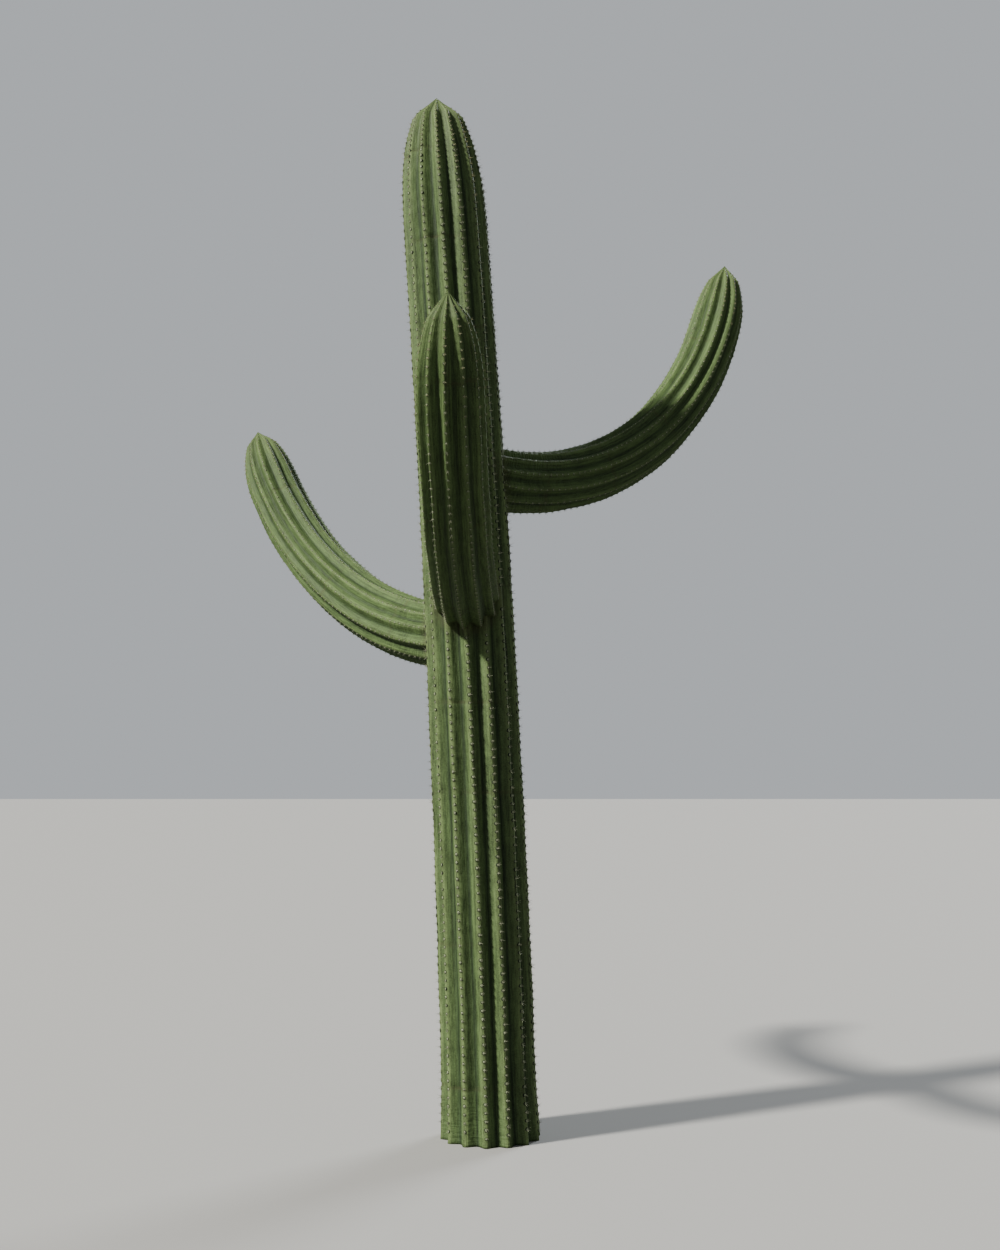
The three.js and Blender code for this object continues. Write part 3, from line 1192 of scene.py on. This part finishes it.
rib_tint, rib_in, rib_out = node_group(
    "rib_tint",
    [("Crest", "value"), ("Waver", "value"), ("Groove Colour", "colour"), ("Flank Colour", "colour"),
     ("Crest Colour", "colour"), ("Fold Shade", "value")],
    [("Colour", "colour")])
shift = reckon(rib_tint, "MULTIPLY", reckon(rib_tint, "SUBTRACT", rib_in.outputs["Waver"], 0.5), WAVER)
wavering = reckon(rib_tint, "ADD", rib_in.outputs["Crest"], shift)
up_flank = stretch(rib_tint, wavering, FLANK_FROM, FLANK_FULL)
on_crest = stretch(rib_tint, wavering, CREST_FROM, CREST_FULL)
# the groove colour is painted shade and the crest colour a painted highlight
lower = blend_colours(rib_tint, up_flank, rib_in.outputs["Groove Colour"], rib_in.outputs["Flank Colour"])
tinted = blend_colours(rib_tint, on_crest, lower, rib_in.outputs["Crest Colour"])
fold = stretch(rib_tint, rib_in.outputs["Crest"], 0.0, GROOVE_SHADE_WIDTH, rib_in.outputs["Fold Shade"], 0.0)
tinted = blend_colours(rib_tint, fold, tinted, GROOVE_SHADE_COLOUR)
rib_tint.links.new(tinted, rib_out.inputs["Colour"])
print("rib tint nodes:", len(rib_tint.nodes))

# %% Waxy mottle: patches, streaks and fine pores
MOTTLE = {               # scale, or the input that gives it; detail; squash, which is small along a streak
    "Patches": ("Patch Scale", 4.0, (1, 1, 1)),
    "Streaks": (68.0, 3.0, (1, 1, 0.03)),
    "Fibres": (130.0, 2.0, (1, 1, 0.12)),
    "Creases": (70.0, 2.0, (0.16, 0.16, 1)),
    "Pores": ("Pore Scale", 2.0, (1, 1, 1)),
}
mottle, mottle_in, mottle_out = node_group(
    "waxy_mottle", [("Place", "place"), ("Patch Scale", "value"), ("Pore Scale", "value")],
    [(label, "value") for label in MOTTLE])
for label, (scale, detail, squash) in MOTTLE.items():
    scale = mottle_in.outputs[scale] if isinstance(scale, str) else scale
    pattern = noise_at(mottle, mottle_in.outputs["Place"], scale, detail, squash)
    mottle.links.new(pattern, mottle_out.inputs[label])
print("mottle nodes:", len(mottle.nodes))

# %% Skin of the trunk and of the arms
SCAR_AND_COLLAR_BROWN = (0.085, 0.080, 0.038, 1)
FRESH = (0.122, 0.170, 0.058, 1)
FRESH_REACH, FRESH_SHARE = 2.2, 0.55      # from the apex, in crest radii, and how strong at the apex
SHADES = {"Patches": (-0.16, 0.14), "Streaks": (-0.30, 0.30),
          "Fibres": (-0.24, 0.24), "Pores": (-0.24, 0.24)}
HEIGHTS = {"Pores": 0.7, "Streaks": 1.0, "Fibres": 1.0}
PATCH_SCALE, PORE_SCALE = 9.0, 170.0
CREASED_FROM = 0.1
CREASE_SHADE, CREASE_HEIGHT = 0.5, 3.0
SCAR_SHARE, COLLAR_SHARE = 0.45, 0.35     # how far the skin turns brown: a corky scar on each seam, darker and browner where an arm meets the trunk
SHEEN = 0.22
ROUGHNESS = (0.55, 0.72)
BROWNED_ROUGHNESS = 0.25                     # the browned skin is rougher by this
BUMP_STRENGTH, BUMP_DISTANCE = 0.6, 0.004
NOISE_SPAN = (0.3, 0.7)                   # nearly all of a noise lies between these
COLLAR_FROM = 0.2


def note_of(tree, name):
    reader = tree.nodes.new("ShaderNodeAttribute")
    reader.attribute_name = name
    return reader


def swing(tree, noise, low, high):
    """A noise stretched so that it runs from low to high."""
    return stretch(tree, noise, *NOISE_SPAN, low, high)


def add_up(tree, values):
    total = values[0]
    for value in values[1:]:
        total = reckon(tree, "ADD", total, value)
    return total


def skin_material(name, groove, flank, crest, fold_shade, creasing):
    """The limb's skin, creased crosswise from its root until some way along it."""
    creased_until, crease_strength = creasing
    skin_paint, tree, shader = new_material(name)
    place = note_of(tree, "straight").outputs["Vector"]
    marks = placed(tree, mottle, Place=place, Patch_Scale=PATCH_SCALE, Pore_Scale=PORE_SCALE).outputs
    tint = placed(tree, rib_tint, Crest=note_of(tree, "crest").outputs["Fac"], Waver=marks["Streaks"],
                  Groove_Colour=groove, Flank_Colour=flank, Crest_Colour=crest, Fold_Shade=fold_shade)
    tip = stretch(tree, note_of(tree, "to_tip").outputs["Fac"], 0.0, FRESH_REACH, FRESH_SHARE, 0.0)
    colour = blend_colours(tree, tip, tint.outputs["Colour"], FRESH)
    length = tree.nodes.new("ShaderNodeSeparateXYZ")
    tree.links.new(place, length.inputs["Vector"])
    near_root = stretch(tree, length.outputs["Z"], CREASED_FROM, creased_until, crease_strength, 0.0)
    folds = reckon(tree, "MULTIPLY", near_root, swing(tree, marks["Creases"], -0.5, 0.5))
    shade = add_up(tree, [swing(tree, marks[label], *ends) for label, ends in SHADES.items()]
                   + [reckon(tree, "MULTIPLY", folds, CREASE_SHADE), 1.0])
    grey = tree.nodes.new("ShaderNodeCombineColor")
    for socket in grey.inputs:
        tree.links.new(shade, socket)
    colour = blend_colours(tree, 1.0, colour, grey.outputs["Color"], "MULTIPLY")
    # the skin turns brown in a corky scar on each seam, and darker and browner where an arm meets the trunk
    scar = reckon(tree, "MULTIPLY", note_of(tree, "seam").outputs["Fac"], SCAR_SHARE)
    collar = stretch(tree, note_of(tree, "collar").outputs["Fac"], COLLAR_FROM, 1.0, 0.0, COLLAR_SHARE)
    browned = reckon(tree, "MAXIMUM", scar, collar)
    tree.links.new(blend_colours(tree, browned, colour, SCAR_AND_COLLAR_BROWN), shader.inputs["Base Color"])
    shader.inputs["Specular IOR Level"].default_value = SHEEN
    rough = [swing(tree, marks["Patches"], *ROUGHNESS), reckon(tree, "MULTIPLY", browned, BROWNED_ROUGHNESS)]
    tree.links.new(add_up(tree, rough), shader.inputs["Roughness"])
    bump = tree.nodes.new("ShaderNodeBump")
    bump.inputs["Strength"].default_value = BUMP_STRENGTH
    bump.inputs["Distance"].default_value = BUMP_DISTANCE
    height = add_up(tree, [reckon(tree, "MULTIPLY", marks[label], share) for label, share in HEIGHTS.items()]
                    + [reckon(tree, "MULTIPLY", folds, CREASE_HEIGHT)])
    tree.links.new(height, bump.inputs["Height"])
    tree.links.new(bump.outputs["Normal"], shader.inputs["Normal"])
    return skin_paint


# groove, flank and crest colours: the darker groove is painted shade, the paler crest a painted highlight
trunk_paint = skin_material("trunk_skin", (0.046, 0.077, 0.030, 1), (0.091, 0.140, 0.051, 1),
                            (0.138, 0.194, 0.074, 1), fold_shade=0.55, creasing=(0.3, 0.25))
arm_paint = skin_material("arm_skin", (0.052, 0.086, 0.030, 1), (0.082, 0.131, 0.043, 1),
                          (0.112, 0.166, 0.058, 1), fold_shade=0.3, creasing=(0.9, 1.0))
print("finishes:", trunk_paint.name, arm_paint.name)

# %% [markdown]
# ### Spines, felt and rims
# A spine is ivory when fresh and weathers to grey. There are tens of thousands of them and each is thinner
# than a match, so a plain colour with a slight sheen is all that can be seen of its finish. The same goes
# for the felt and its dark rim, whose dark is partly old felt and spine bases and partly painted shade.

# %% Plain finishes


def plain_material(name, colour, roughness):
    paint, _, shader = new_material(name)
    shader.inputs["Base Color"].default_value = (*colour, 1)
    shader.inputs["Roughness"].default_value = roughness
    return paint


PLAIN = {                # colour, roughness and the pieces that have it
    # the rims' dark is partly old felt and spine bases and partly painted shade round each pad; paler on the
    # arms
    "areole_rim": ((0.018, 0.029, 0.010), 0.9, ("trunk_areole_rims",)),
    "young_areole_rim": ((0.044, 0.070, 0.025), 0.9, ("arm_areole_rims",)),
    "areole_felt": ((0.36, 0.43, 0.25), 0.95, ("trunk_areole_felt", "arm_areole_felt")),
    "weathered_spine": ((0.32, 0.33, 0.22), 0.6, ("trunk_ring_spines", "trunk_standing_spines",
                                                  "arm_ring_spines", "arm_standing_spines")),
    "fresh_spine": ((0.40, 0.38, 0.21), 0.55, ("young_ring_spines", "young_standing_spines")),
}
PAINTED = {skin: trunk_paint if stem is trunk else arm_paint for stem, skin in skins.items()}
for name, (colour, roughness, wearers) in PLAIN.items():
    paint = plain_material(name, colour, roughness)
    PAINTED.update({clusters[wearer]: paint for wearer in wearers})
for piece, paint in PAINTED.items():
    piece.data.materials.clear()
    piece.data.materials.append(paint)
print("painted pieces:", len(PAINTED))

# %% [markdown]
# ## Joining the frame
# The skins stand for the solids, which stay behind them for collision. Every piece rides on the one body,
# since nothing on a cactus moves.

# %% Ride and replace
for piece in PAINTED:
    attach(piece, "root")
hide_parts("trunk")
for arm in ARMS:
    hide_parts(*arm.nodes)
triangles = sum(len(f.vertices) - 2 for piece in PAINTED for f in piece.data.polygons)
print("triangles in all:", triangles)

# %% [markdown]
# ## The end
# The plant with its spines may stand only a little proud of the solids.

# %% Finish
bpy.context.view_layer.update()
